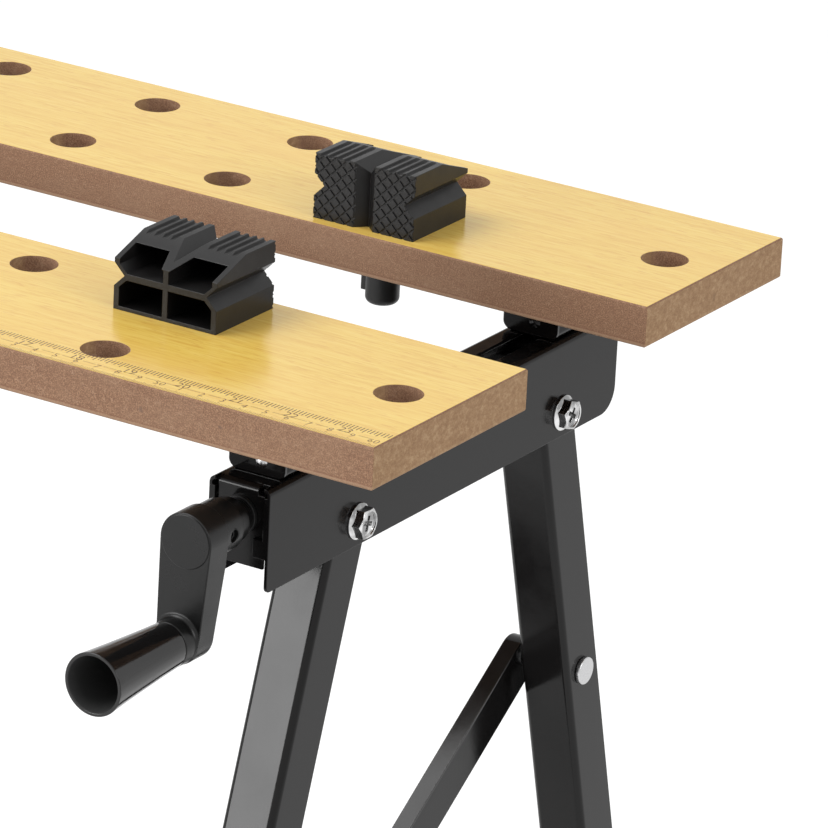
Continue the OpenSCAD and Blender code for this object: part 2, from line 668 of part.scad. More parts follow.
// Hollow flared knob that spins on its pin
knob_gap = 0.3;
function knob_r(t) = boss_r + (knob_end_r - boss_r) * (0.75 * t + 0.25 * t * t);
knob_steps = 8;
knob_outer = [for (i = [0:knob_steps]) [knob_r(i / knob_steps), i * knob_l / knob_steps]];
knob_inner = [for (i = [knob_steps:-1:1]) [knob_r(i / knob_steps) - knob_t, i * knob_l / knob_steps]];
module crank_knob() color(plastic) rotate([90, 0, 0]) difference() {
    rotate_extrude() polygon(concat([[0, 0]], knob_outer, knob_inner,
        [[knob_r(knob_floor / knob_l) - knob_t, knob_floor], [0, knob_floor]]));
    translate([0, 0, -1]) cylinder(d = knob_pin_d + 2 * run_gap, h = knob_floor + 2);
}
module right_crank_knob() at_crank() translate([0, -boss_l - knob_gap, -crank_l]) crank_knob();
module left_crank_knob() mirror([1, 0, 0]) right_crank_knob();

// Shouldered pin through the knob's floor into the boss
module knob_pin() color(zinc) {
    length = 6 + knob_gap + knob_floor + 2 * run_gap;
    translate([0, 6, 0]) rotate([180, 0, 0]) {
        rod_y(knob_pin_d / 2, length);
        translate([0, length, 0]) rod_y(5, 2.4);
    }
}
module right_knob_pin() at_crank() translate([0, -boss_l, -crank_l]) knob_pin();
module left_knob_pin() mirror([1, 0, 0]) right_knob_pin();

// Leg: folded channel, its web to the front, with a round end at the pivot
module leg(length) color(black) difference() {
    intersection() {
        translate([0, -leg_half, -length]) linear_extrude(length + leg_half)
            rotate(180) channel(leg_w, leg_w, leg_t, leg_bend_r);
        along_x(leg_w) {
            circle(leg_half);
            translate([-leg_half, -length]) square([leg_w, length]);
        }
    }
    translate([-leg_half - 1, 0, 0]) rod_x(bolt_r + run_gap, leg_w + 2);
}
module leg_rivet_holes(s, spread) for (d = [spread / 2, -spread / 2])
    translate([-leg_half - 1, 0, -s + d]) rod_x(small_rivet_d / 2 + screw_clear, leg_t + 2);
module stay_hole(s) translate([-leg_half - 1, 0, -s]) rod_x(bolt_r + run_gap, leg_w + 2);
rivet_room_r = small_rivet_d / 2 + 2.6;
module right_front_leg() at_front_leg() difference() {
    leg(front_leg_l);
    leg_rivet_holes(step_s, tab_spread);
    stay_hole(front_stay_s);
}
module left_front_leg() mirror([1, 0, 0]) right_front_leg();
module right_rear_leg() at_rear_leg() difference() {
    leg(rear_leg_l);
    leg_rivet_holes(rail_s, tab_spread);
    stay_hole(rear_stay_s);
}
module left_rear_leg() mirror([1, 0, 0]) right_rear_leg();

// Pivot bolts with a flange, a hexagon and a cross recess, their heads outside
dish_h = 0.8;
recess_h = 2.4;
module leg_bolt() color(zinc) {
    x = beam_w / 2;
    difference() {
        translate([x, 0, 0]) rotate([0, 90, 0]) {
            cylinder(d = flange_d, h = flange_t);
            translate([0, 0, flange_t]) cylinder(d1 = flange_d, d2 = bolt_af, h = flange_rise);
            intersection() {
                cylinder(d = bolt_af / cos(30), h = head_h, $fn = 6);
                cylinder(r1 = bolt_af / 2 - head_edge + head_h / tan(30), r2 = bolt_af / 2 - head_edge, h = head_h);
            }
        }
        translate([x + head_h - dish_h, 0, 0]) rod_x(bolt_af / 2 - 0.8, 2);
        for (a = [45, 135]) translate([x + head_h - dish_h - recess_h, 0, 0]) rotate([a, 0, 0])
            translate([0, -recess_w / 2, -recess_l / 2]) cube([4, recess_w, recess_l]);
    }
    translate([-x - leg_nut_h - 1.6, 0, 0]) rod_x(bolt_r, beam_w + leg_nut_h + 1.6);
}
module at_pivots() on_both_sides() for (y = [front_pivot_y, rear_pivot_y]) translate([beam_x, y, pivot_z]) children();
module leg_bolts() on_both_sides() for (i = [0, 1])
    translate([beam_x, [front_pivot_y, rear_pivot_y][i], pivot_z]) rotate([head_turns[i], 0, 0]) leg_bolt();
module leg_nuts() color(zinc) at_pivots() translate([-beam_w / 2 - leg_nut_h, 0, 0]) difference() {
    union() {
        rotate([0, 90, 0]) cylinder(d = nut_corners, h = leg_nut_h, $fn = 6);
        translate([leg_nut_h - nut_flange_t, 0, 0]) rod_x(nut_flange_d / 2, nut_flange_t);
    }
    translate([-1, 0, 0]) rod_x(bolt_r + screw_clear, leg_nut_h + 2);
}

// Black nylon washers between the beam walls and the legs
module leg_washers() color(nylon) at_pivots() for (s = [1, -1])
    translate([s > 0 ? beam_w / 2 - beam_t - washer_t : -beam_w / 2 + beam_t, 0, 0]) difference() {
        rod_x(leg_washer_r, washer_t);
        translate([-1, 0, 0]) rod_x(bolt_r + run_gap, washer_t + 2);
    }

// Steel bushes inside the legs, round the pivot bolts
module leg_bush() color(zinc) translate([-leg_half + leg_t, 0, 0]) difference() {
    rod_x(bolt_r + bush_wall, leg_w - 2 * leg_t);
    translate([-1, 0, 0]) rod_x(bolt_r + run_gap, leg_w);
}
module front_leg_bushes() on_both_sides() at_front_leg() leg_bush();
module rear_leg_bushes() on_both_sides() at_rear_leg() leg_bush();

// Foot: plastic cap round the leg's end, its sole cut flat on the floor
module foot(length) color(plastic) {
    difference() {
        translate([0, 0, -length - 3 * sole_h]) linear_extrude(foot_h + 3 * sole_h) foot_outline();
        translate([-leg_half, -leg_half, -length]) cube([leg_w, leg_w, foot_h + 1]);
    }
    translate([-leg_half + leg_t + plug_gap, -leg_half + leg_t + plug_gap, -length - eps])
        cube([leg_w - 2 * (leg_t + plug_gap), leg_w - leg_t - plug_gap + eps, foot_h - 8]);
}
module foot_outline() {
    r = 3;
    h = foot_half;
    translate([-h + r, -h]) square([2 * (h - r), 2 * h]);
    translate([-h, -h + r]) square([2 * h, 2 * (h - r)]);
    for (x = [1, -1], y = [1, -1]) translate([x * (h - r), y * (h - r)]) circle(r);
}
module above_floor() difference() {
    children();
    translate([-jaw_l, -jaw_l, -jaw_l]) cube([2 * jaw_l, 2 * jaw_l, jaw_l]);
}
module right_front_foot() above_floor() at_front_leg() foot(front_leg_l);
module left_front_foot() mirror([1, 0, 0]) right_front_foot();
module right_rear_foot() above_floor() at_rear_leg() foot(rear_leg_l);
module left_rear_foot() mirror([1, 0, 0]) right_rear_foot();

// Step across the front legs, level when the bench stands
step_half = beam_x - leg_half;
step_y = front_pivot_y - step_s * sin(front_splay);
step_z = pivot_z - step_s * cos(front_splay);
module end_tab(s) translate([-leg_half - leg_t, -leg_half + 1, -s - tab_spread / 2 - tab_edge]) difference() {
    cube([leg_t, leg_w - 2, tab_spread + 2 * tab_edge]);
    for (d = [0, tab_spread]) translate([-1, leg_half - 1, tab_edge + d])
        rod_x(small_rivet_d / 2 + screw_clear, leg_t + 2);
}
module front_step() color(black) {
    difference() {
        translate([0, step_y, step_z + step_h / 2]) along_x(2 * step_half) channel(step_w, step_h, leg_t, leg_bend_r);
        on_both_sides() at_front_leg() translate([0, 0, -step_s]) for (d = [-tab_spread / 2, tab_spread / 2])
            translate([-leg_half - 6, 0, d]) rod_x(rivet_room_r, 6 - eps);
    }
    on_both_sides() at_front_leg() end_tab(step_s);
}
module rear_cross_rail() color(black) {
    on_both_sides() at_rear_leg() end_tab(rail_s);
    translate([0, rear_pivot_y, pivot_z]) rotate([rear_splay, 0, 0])
        translate([0, 0, -rail_s]) difference() {
            rail_body();
            for (s = [1, -1], d = [-tab_spread / 2, tab_spread / 2])
                translate([s * (step_half - 3) - 3, 0, d]) rod_x(rivet_room_r, 6);
        }
}
// Channel along the X axis with its web to the front
module rail_body() along_x(2 * step_half) rotate(90) translate([0, rail_h / 2])
    channel(rail_w, rail_h, leg_t, leg_bend_r);

// Small rivets through a leg's inner wall and an end tab
module tab_rivets(s) color(zinc) for (d = [tab_spread / 2, -tab_spread / 2]) translate([-leg_half, 0, -s + d]) {
    translate([-leg_t, 0, 0]) rod_x(small_rivet_d / 2, 2 * leg_t);
    translate([leg_t, 0, 0]) rod_x(small_rivet_d / 2 + 2, 1.2);
    translate([-leg_t - 1.2, 0, 0]) rod_x(small_rivet_d / 2 + 2, 1.2);
}
module front_step_rivets() on_both_sides() at_front_leg() tab_rivets(step_s);
module rear_rail_rivets() on_both_sides() at_rear_leg() tab_rivets(rail_s);

// Upper stay: pressed tray, round at the leg end and open at the hinge end
hinge_flat = 24;
stay_collar_r = bolt_r + 2.5;
module upper_stay() color(black) translate([stay_x, 0, 0]) difference() {
    drop = stay_w / 2 - stay_end;
    translate([-stay_edge, 0, 0]) rotate([90, 0, 90]) linear_extrude(stay_edge) bar_outline(stay_w, upper_l, drop);
    translate([-stay_edge - 1, 0, 0]) rotate([90, 0, 90]) linear_extrude(stay_edge + 1 - stay_t)
        bar_outline(stay_w - 2 * stay_t, upper_l, drop);
    translate([-stay_edge - 1, -stay_w, -upper_l - stay_w]) cube([stay_edge + 1 - stay_t, 2 * stay_w, stay_w + hinge_flat]);
    for (s = [0, upper_l]) translate([-stay_t - 1, 0, -s]) rod_x(bolt_r + run_gap, stay_t + 2);
}
module right_upper_stay() at_rear_stay() upper_stay();
module left_upper_stay() mirror([1, 0, 0]) right_upper_stay();

// Lower stay: flat bar from the hinge to the front leg, with its own hinge head
module lower_stay() color(black) translate([bar_x - bar_t, 0, -upper_l]) difference() {
    union() {
        rotate([90, 0, 90]) linear_extrude(bar_t) bar_outline(stay_w, lower_l);
        translate([bar_t, 0, 0]) rod_x(stay_collar_r, bar_gap - 0.4);
    }
    translate([-1, 0, -lower_l]) rod_x(bolt_r + run_gap, bar_t + 2);
}
module right_lower_stay() at_rear_stay() lower_stay();
module left_lower_stay() mirror([1, 0, 0]) right_lower_stay();

// Rivets that the stays turn on
module stay_rivet(inner_x) color(zinc) {
    translate([leg_half, 0, 0]) rod_x(rivet_head_d / 2, rivet_head_h);
    translate([inner_x - 1.8, 0, 0]) {
        rod_x(bolt_r, leg_half - inner_x + 1.8);
        rod_x(5, 1.8);
    }
}
module upper_stay_rivets() on_both_sides() at_rear_leg() translate([0, 0, -rear_stay_s])
    stay_rivet(stay_x - stay_t - run_gap);
module lower_stay_rivets() on_both_sides() at_front_leg() translate([0, 0, -front_stay_s])
    stay_rivet_short();
module stay_rivet_short() color(zinc) {
    translate([leg_half, 0, 0]) rod_x(rivet_head_d / 2, rivet_head_h);
    translate([stay_x + 0.1, 0, 0]) rod_x(bolt_r, leg_half - stay_x - 0.1);
    translate([bar_x + run_gap, 0, 0]) rod_x(stay_collar_r, -leg_half - bar_x - run_gap);
}
module upper_stay_spacers() color(zinc) on_both_sides() at_rear_leg() translate([stay_x + run_gap, 0, -rear_stay_s])
    difference() {
        rod_x(stay_collar_r, -leg_half - stay_x - run_gap);
        translate([-1, 0, 0]) rod_x(bolt_r + screw_clear, leg_half);
    }
module right_hinge_rivet() color(zinc) at_rear_stay() translate([stay_x - stay_t, 0, -upper_l]) {
    rod_x(bolt_r, stay_t);
    translate([-2, 0, 0]) rod_x(stay_collar_r, 2);
}
module left_hinge_rivet() mirror([1, 0, 0]) right_hinge_rivet();

// Peg: local frame on the pin's axis at the board's top, grip face towards +Y
module peg() color(plastic) difference() {
    union() {
        peg_block();
        peg_pin();
    }
    for (s = [1, -1]) on_side(s) {
        translate([0, (peg_front - peg_back) / 2 - 6, 0]) along_y(peg_front + peg_back) lower_cell();
        translate([0, (peg_front - peg_back) / 2 - 6, 0]) along_y(peg_front + peg_back) upper_cell();
    }
}
module lower_cell() {
    x = peg_w / 2 - peg_wall;
    top = groove_z - peg_wall / 2 - 0.5;
    polygon([[peg_wall / 2, 1.6], [x, 1.6], [x, top - 3.4], [x - 3.6, top], [peg_wall / 2, top]]);
}
module upper_cell() {
    x = peg_w / 2 - peg_wall;
    low = groove_z + peg_wall / 2 - 0.2;
    high = peg_h - peg_wall - 0.7;
    polygon([[peg_wall / 2, low], [x - 3.8, low], [x, low + 3.6], [x, high],
        [valley_d + 0.7, high], [peg_wall / 2, high - valley_d + 0.6]]);
}
module rib_valley() polygon([[-rib_floor / 2, 0], [rib_floor / 2, 0], [rib_gap / 2, rib_h],
    [rib_gap / 2, rib_h + 1], [-rib_gap / 2, rib_h + 1], [-rib_gap / 2, rib_h]]);
module peg_block() {
    d = peg_front + peg_back;
    yc = (peg_front - peg_back) / 2;
    difference() {
        intersection() {
            translate([0, yc, 0]) along_y(d) peg_face();
            along_x(peg_w + 2) polygon([[-peg_back, 0], [peg_front, 0], [peg_front, peg_h],
                [peg_front - peg_top_l, peg_h], [-peg_back, peg_lip_h]]);
        }
        translate([0, 0, -1]) linear_extrude(peg_h + 2)
            polygon([[-notch_d, peg_front + eps], [0, peg_front - notch_d], [notch_d, peg_front + eps]]);
        for (s = [1, -1], i = [1:rib_count - 1]) translate([s * rib_x(i), yc, peg_h - rib_h])
            along_y(d + 2) rib_valley();
        translate([0, peg_front, 0]) knurl();
    }
}
rib_span = (peg_w / 2 - valley_d) / rib_count;
rib_gap = rib_span * 0.72;
rib_floor = rib_gap * 0.7;
function rib_x(i) = valley_d + i * rib_span;

// Peg seen from the grip face, with its side grooves and top valley
module peg_face() {
    x = peg_w / 2;
    polygon([[-x, 0], [x, 0], [x, groove_z - groove_d], [x - groove_d, groove_z], [x, groove_z + groove_d],
        [x, peg_h], [valley_d, peg_h], [0, peg_h - valley_d], [-valley_d, peg_h], [-x, peg_h],
        [-x, groove_z + groove_d], [-x + groove_d, groove_z], [-x, groove_z - groove_d]]);
}

// Crossing grooves in the grip face
module knurl() {
    n = ceil((peg_w / 2 + peg_h) / knurl_pitch);
    for (a = [45, -45], i = [-n:n]) translate([i * knurl_pitch, 0, peg_h / 2]) rotate([0, a, 0])
        translate([-knurl_w / 2, -knurl_d, -peg_h]) cube([knurl_w, knurl_d + 1, 2 * peg_h]);
}

// Pin: full round in the board, thinner below it with a rounded end and a side rib
module peg_pin() {
    full_r = hole_d / 2 - peg_gap;
    end_r = 3;
    translate([0, 0, -jaw_t + 1]) cylinder(r = full_r, h = jaw_t - 1 + eps);
    translate([0, 0, -jaw_t - pin_reach + end_r]) {
        cylinder(d = pin_d, h = pin_reach);
        rotate_extrude() intersection() {
            union() {
                translate([pin_d / 2 - end_r, 0]) circle(end_r);
                translate([0, -end_r]) square([pin_d / 2 - end_r, end_r]);
            }
            translate([0, -end_r]) square([pin_d, end_r + eps]);
        }
    }
    intersection() {
        translate([0, 0, -jaw_t - rib_reach]) cylinder(r = full_r, h = rib_reach + 2);
        translate([-full_r, -pin_rib_w / 2, -jaw_t - rib_reach]) cube([full_r, pin_rib_w, rib_reach + 2]);
    }
}
module front_peg(side) translate([side * peg_x, front_jaw_y + jaw_w / 2 - hole_edge, bench_h]) peg();
module rear_peg(side) translate([side * peg_x, rear_jaw_y - jaw_w / 2 + hole_edge, bench_h])
    mirror([0, 1, 0]) peg();
module front_right_peg() front_peg(1);
module front_left_peg() front_peg(-1);
module rear_right_peg() rear_peg(1);
module rear_left_peg() rear_peg(-1);

front_jaw();
rear_jaw();
right_beam();
left_beam();
right_front_bracket();
left_front_bracket();
right_rear_bracket();
left_rear_bracket();
front_jaw_screws();
rear_jaw_screws();
front_bracket_bolts();
front_bracket_nuts();
front_bracket_rivets();
rear_bracket_rivets();
nut_screws();
right_screw_nut();
left_screw_nut();
right_vise_screw();
left_vise_screw();
right_thrust_collar();
left_thrust_collar();
thrust_washers();
right_crank_arm();
left_crank_arm();
right_set_screw();
left_set_screw();
right_knob_pin();
left_knob_pin();
right_crank_knob();
left_crank_knob();
leg_bolts();
leg_nuts();
leg_washers();
front_leg_bushes();
rear_leg_bushes();
right_front_leg();
left_front_leg();
right_rear_leg();
left_rear_leg();
front_step();
rear_cross_rail();
front_step_rivets();
rear_rail_rivets();
right_front_foot();
left_front_foot();
right_rear_foot();
left_rear_foot();
right_upper_stay();
left_upper_stay();
right_lower_stay();
left_lower_stay();
upper_stay_rivets();
lower_stay_rivets();
upper_stay_spacers();
right_hinge_rivet();
left_hinge_rivet();
front_right_peg();
front_left_peg();
rear_right_peg();
rear_left_peg();
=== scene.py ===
"""Looks of the folding workbench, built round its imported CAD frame. Lengths are in metres."""
import math

import bmesh
import bpy
from mathutils import Matrix, Vector
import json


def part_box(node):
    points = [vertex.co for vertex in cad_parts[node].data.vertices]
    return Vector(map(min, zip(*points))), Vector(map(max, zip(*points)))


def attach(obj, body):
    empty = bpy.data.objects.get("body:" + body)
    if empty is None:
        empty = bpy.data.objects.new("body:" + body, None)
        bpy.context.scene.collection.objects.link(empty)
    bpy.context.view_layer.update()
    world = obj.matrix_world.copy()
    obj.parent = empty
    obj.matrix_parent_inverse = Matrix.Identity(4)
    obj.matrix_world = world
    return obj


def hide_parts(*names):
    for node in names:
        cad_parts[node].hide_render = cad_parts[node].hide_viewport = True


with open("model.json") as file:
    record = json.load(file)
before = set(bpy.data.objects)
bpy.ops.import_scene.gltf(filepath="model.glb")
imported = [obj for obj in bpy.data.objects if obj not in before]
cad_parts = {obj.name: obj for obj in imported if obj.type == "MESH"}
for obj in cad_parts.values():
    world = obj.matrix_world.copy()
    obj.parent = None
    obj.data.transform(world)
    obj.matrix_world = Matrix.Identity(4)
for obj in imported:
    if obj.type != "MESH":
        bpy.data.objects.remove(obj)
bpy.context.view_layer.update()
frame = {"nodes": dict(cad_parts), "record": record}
nodes = frame["nodes"]

SIDES = ("right", "left")
MM = 0.001


def srgb(r, g, b):
    """Linear colour of an 8-bit screen colour."""
    out = []
    for c in (r, g, b):
        c = c / 255
        out.append(c / 12.92 if c <= 0.04045 else ((c + 0.055) / 1.055) ** 2.4)
    return (*out, 1.0)


def grey(tone):
    """Linear grey."""
    return (tone, tone, tone, 1)


# Camera, fitted to the photograph

PICTURE_PIXELS = 828
FOCAL_PIXELS = 6511.766
SENSOR = 36.0
YAW, PITCH, ROLL = 0.546344834, 0.359167635, 0.0510829798
CAMERA_AT = (1.5332177, -2.1395307, 1.6783255)


def make_camera():
    """The camera looks along yaw and pitch and is then rolled about its line of sight."""
    look = Vector((-math.sin(YAW) * math.cos(PITCH), math.cos(YAW) * math.cos(PITCH), -math.sin(PITCH)))
    level_right = Vector((math.cos(YAW), math.sin(YAW), 0))
    level_up = level_right.cross(look)
    right = math.cos(ROLL) * level_right + math.sin(ROLL) * level_up
    up = -math.sin(ROLL) * level_right + math.cos(ROLL) * level_up
    data = bpy.data.cameras.new("camera")
    data.sensor_width = SENSOR
    data.lens = FOCAL_PIXELS / PICTURE_PIXELS * SENSOR
    data.clip_start = 0.05
    data.clip_end = 60
    camera = bpy.data.objects.new("camera", data)
    bpy.context.scene.collection.objects.link(camera)
    turn = Matrix((right, up, -look)).transposed()
    camera.matrix_world = Matrix.Translation(CAMERA_AT) @ turn.to_4x4()
    bpy.context.scene.camera = camera


# Material helpers

class Shader:
    """A Principled material with short ways to add nodes."""

    def __init__(self, name, color, rough, metal=0.0, **sockets):
        self.mat = bpy.data.materials.new(name)
        self.mat.use_nodes = True
        self.tree = self.mat.node_tree
        self.bsdf = self.tree.nodes["Principled BSDF"]
        self.set("Base Color", color)
        self.set("Roughness", rough)
        self.set("Metallic", metal)
        for key, value in sockets.items():
            self.set(key.replace("_", " "), value)

    def set(self, socket, value):
        """Gives a socket of the surface one value."""
        self.bsdf.inputs[socket].default_value = value

    def to(self, output, socket):
        """Drives a socket of the surface by a node."""
        self.link(output, self.bsdf.inputs[socket])

    def link(self, a, b):
        self.tree.links.new(a, b)

    def node(self, kind, **values):
        """A node whose values are its own settings or its sockets."""
        n = self.tree.nodes.new(kind)
        for key, value in values.items():
            if hasattr(n, key):
                setattr(n, key, value)
            else:
                n.inputs[key.replace("_", " ")].default_value = value
        return n

    def coords(self, scale=(1, 1, 1), place=(0, 0, 0)):
        """The object's own coordinates, scaled and shifted."""
        tex = self.node("ShaderNodeTexCoord")
        mapping = self.node("ShaderNodeMapping", Scale=scale, Location=place)
        self.link(tex.outputs["Object"], mapping.inputs["Vector"])
        return mapping.outputs["Vector"]

    def noise(self, vector, scale, detail, rough=0.5, distortion=0.0):
        n = self.node("ShaderNodeTexNoise", Scale=scale, Detail=detail, Roughness=rough)
        n.inputs["Distortion"].default_value = distortion
        self.link(vector, n.inputs["Vector"])
        return n.outputs["Fac"]

    def ramp(self, value, *stops):
        n = self.node("ShaderNodeValToRGB")
        elements = n.color_ramp.elements
        while len(elements) < len(stops):
            elements.new(0.5)
        for element, (at, color) in zip(elements, stops):
            element.position = at
            element.color = color
        self.link(value, n.inputs["Fac"])
        return n.outputs["Color"]

    def band(self, value, a, b, low=0.0, high=1.0):
        """low where value is a, high where it is b, and held beyond them."""
        n = self.node("ShaderNodeMapRange")
        for key, v in (("From Min", a), ("From Max", b), ("To Min", low), ("To Max", high)):
            n.inputs[key].default_value = v
        self.link(value, n.inputs["Value"])
        return n.outputs["Result"]

    def feed(self, pairs):
        """Each socket takes a plain value or another node's output."""
        for socket, v in pairs:
            if isinstance(v, (tuple, float, int)):
                socket.default_value = v
            else:
                self.link(v, socket)

    def mix(self, factor, a, b):
        """Colour a where factor is 0 and b where it is 1."""
        n = self.node("ShaderNodeMix", data_type="RGBA")
        self.feed(((n.inputs["Factor"], factor), (n.inputs[6], a), (n.inputs[7], b)))
        return n.outputs[2]

    def math(self, kind, a, b):
        n = self.node("ShaderNodeMath", operation=kind)
        self.feed(((n.inputs[0], a), (n.inputs[1], b)))
        return n.outputs[0]

    def axes(self, vector):
        """The X, Y and Z of a vector."""
        n = self.node("ShaderNodeSeparateXYZ")
        self.link(vector, n.inputs[0])
        return n.outputs

    def bump(self, height, strength, distance, edge=0.0):
        """Surface relief. With edge, sharp edges catch the light as if rounded to that radius."""
        n = self.node("ShaderNodeBump", Strength=strength, Distance=distance)
        self.link(height, n.inputs["Height"])
        if edge:
            round_edge = self.node("ShaderNodeBevel", samples=6, Radius=edge)
            self.link(round_edge.outputs["Normal"], n.inputs["Normal"])
        self.to(n.outputs["Normal"], "Normal")


# Materials

RELIEF = 0.2 * MM


def painted_black(name, specular):
    """Gloss paint on steel, with a little orange peel."""
    s = Shader(name, srgb(17, 16, 16), 0.14, Specular_IOR_Level=specular)
    broad = s.noise(s.coords(), 34, 4, 0.6)
    fine = s.noise(s.coords(), 620, 2)
    s.to(s.band(broad, 0.3, 0.7, 0.1, 0.19), "Roughness")
    s.bump(s.mix(0.25, fine, broad), 0.07, RELIEF)
    return s.mat


def moulded_black(name, rough, color, specular, edge=0.0):
    """Black plastic with a fine moulded grain."""
    s = Shader(name, color, rough, Specular_IOR_Level=specular)
    grain = s.noise(s.coords(), 2100, 2)
    cloud = s.noise(s.coords(), 90, 3)
    s.to(s.band(cloud, 0.3, 0.7, rough - 0.05, rough + 0.06), "Roughness")
    s.bump(grain, 0.1, RELIEF, edge)
    return s.mat


def bright_metal(name, tone, rough, mottle=0.0):
    """Plated steel. mottle is the share by which its tone varies in soft patches."""
    s = Shader(name, (tone, tone, tone * 1.01, 1), rough, 1.0)
    if mottle:
        tarnish = s.noise(s.coords(), 170, 2, 0.4)
        patches = s.ramp(tarnish, (0.4, grey(tone * (1 - mottle))), (0.6, grey(tone * (1 + mottle))))
        s.to(patches, "Base Color")
    mark = s.noise(s.coords(), 700, 4, 0.6)
    s.to(s.band(mark, 0.35, 0.65, rough * 0.7, rough * 1.4), "Roughness")
    s.bump(s.noise(s.coords(), 350, 3), 0.06, RELIEF)
    return s.mat


def beech_print(s, grain):
    """Colour of the printed beech, whose grain runs along the jaw."""
    fleck = s.noise(s.coords((42, 330, 1), (3, 5, 0)), 3.0, 2, 0.5, 0.3)
    cloud = s.noise(s.coords((3, 14, 1), (7, 1, 0)), 2.6, 2)
    wood = s.ramp(grain, (0.32, srgb(220, 177, 82)), (0.48, srgb(228, 191, 92)), (0.68, srgb(233, 201, 105)))
    wood = s.mix(s.band(fleck, 0.58, 0.7, 0, 0.5), wood, srgb(206, 149, 66))
    return s.mix(s.band(cloud, 0.4, 0.7, 0, 0.4), wood, srgb(227, 184, 91))


def pressed_fibres(s, speck):
    """Brown fibreboard: fine specks, darker fibres, paler stains and clusters, and a few dark spots."""
    fibre = s.noise(s.coords(place=(4, 1, 8)), 640, 5, 0.8)
    stain = s.noise(s.coords((1, 1, 2), (2, 6, 3)), 24, 4, 0.6)
    cluster = s.noise(s.coords((1, 1, 1.4), (6, 3, 1)), 400, 4, 0.75)
    spot = s.noise(s.coords(place=(9, 2, 4)), 150, 2, 0.4)
    mdf = s.ramp(speck, (0.36, srgb(111, 78, 58)), (0.5, srgb(138, 102, 76)), (0.64, srgb(167, 130, 101)))
    mdf = s.mix(s.band(fibre, 0.4, 0.66, 0, 0.35), mdf, srgb(130, 94, 67))
    mdf = s.mix(s.band(stain, 0.42, 0.7, 0, 0.4), mdf, srgb(156, 124, 98))
    mdf = s.mix(s.band(cluster, 0.36, 0.5, 0.4, 0), mdf, srgb(116, 82, 62))
    mdf = s.mix(s.band(cluster, 0.56, 0.72, 0, 0.5), mdf, srgb(178, 146, 120))
    return s.mix(s.band(spot, 0.73, 0.77, 0, 0.45), mdf, srgb(92, 72, 62))


def edge_lines(s, mdf, z, low, high):
    """A pale rim and a thin dark line near the bottom of the cut faces, and a dark one under the print."""
    rim = s.math("SUBTRACT", z, low)
    mdf = s.mix(s.band(rim, 1.9 * MM, 1.5 * MM, 0, 0.5), mdf, srgb(170, 138, 110))
    line = s.math("MULTIPLY", s.band(rim, 2.6 * MM, 2.1 * MM), s.band(rim, 1.5 * MM, 1.9 * MM))
    mdf = s.mix(s.math("MULTIPLY", line, 0.4), mdf, srgb(118, 78, 56))
    return s.mix(s.band(z, high - 0.6 * MM, high - 0.2 * MM, 0, 0.22), mdf, srgb(122, 86, 62))


def sawn_ends(s, mdf, facing):
    """The sawn ends of the jaws are painted yellower and lighter than their long edges: partly their own
    tone, partly painted light on the faces turned to the sides.
    """
    drift = s.noise(s.coords((1, 1, 1.4), (1, 8, 5)), 330, 4, 0.75)
    # Painted light: this end colour is lighter too, and stands in for light on the faces turned to the
    # sides.
    cut = s.ramp(drift, (0.36, srgb(152, 119, 82)), (0.52, srgb(171, 137, 97)), (0.66, srgb(198, 167, 127)))
    sawn = s.math("ABSOLUTE", facing["X"], 0.0)
    return s.mix(s.band(sawn, 0.8, 0.95, 0, 0.6), mdf, cut)


def board():
    """Fibreboard with a printed beech laminate on its top."""
    s = Shader("board", srgb(150, 118, 92), 0.7)
    low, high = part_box("front_jaw")
    grain = s.noise(s.coords((9, 150, 1)), 4.5, 3, 0.55, 0.6)
    speck = s.noise(s.coords(), 1900, 2, 0.6)
    z = s.axes(s.coords())["Z"]
    facing = s.axes(s.node("ShaderNodeNewGeometry").outputs["True Normal"])
    mdf = edge_lines(s, pressed_fibres(s, speck), z, low.z, high.z)
    mdf = sawn_ends(s, mdf, facing)
    at_top = s.band(z, high.z - 0.55 * MM, high.z - 0.5 * MM)
    printed = s.math("MULTIPLY", at_top, s.band(facing["Z"], 0.9, 0.95))
    s.to(s.mix(printed, mdf, beech_print(s, grain)), "Base Color")
    s.to(s.band(printed, 0, 1, 0.75, 0.2), "Roughness")
    s.bump(s.mix(printed, speck, s.band(grain, 0, 1, 0.45, 0.5)), 0.2, RELIEF)
    return s.mat


MATERIALS = {
    "board": board(),
    "black_steel": painted_black("black_paint", 0.23),
    "matt_plastic": moulded_black("matt_black_plastic", 0.3, srgb(13, 13, 13), 0.3),
    "knob_plastic": moulded_black("gloss_black_plastic", 0.11, srgb(15, 14, 14), 0.42),
    "bright_bolts": bright_metal("bright_plate", 0.5, 0.1, 0.45),
    "zinc_steel": bright_metal("zinc_plate", 0.56, 0.26),
    "nylon": moulded_black("black_nylon", 0.45, srgb(20, 20, 20), 0.5),
}
DARK_OXIDE = bright_metal("black_oxide", 0.05, 0.3)
PEG_PLASTIC = moulded_black("peg_plastic", 0.42, srgb(15, 14, 14), 0.36, 0.4 * MM)
# Painted light: greyer plastic inside the knobs' cups, where their hollows lie in shade.
CUP_PAINTED_LIGHT = moulded_black("cup_painted_light", 0.6, srgb(52, 52, 52), 0.3)
BRACKET_PAINT = painted_black("bracket_paint", 0.1)
RIM_PAINT = painted_black("rim_paint", 1.0)
BEAM_PAINT = painted_black("beam_paint", 0.185)
INK = Shader("ruler_ink", srgb(98, 64, 40), 0.45).mat


# CAD nodes

EDGE_WIDTH = {
    "board": 0.25 * MM,
    "black_steel": 0.3 * MM,
    "matt_plastic": 0.5 * MM,
    "knob_plastic": 0.35 * MM,
}
SMALL_EDGE = 0.15 * MM
STAY_EDGE = 0.5 * MM
RIM_EDGE = 0.55 * MM
WELD_DISTANCE = 0.002 * MM


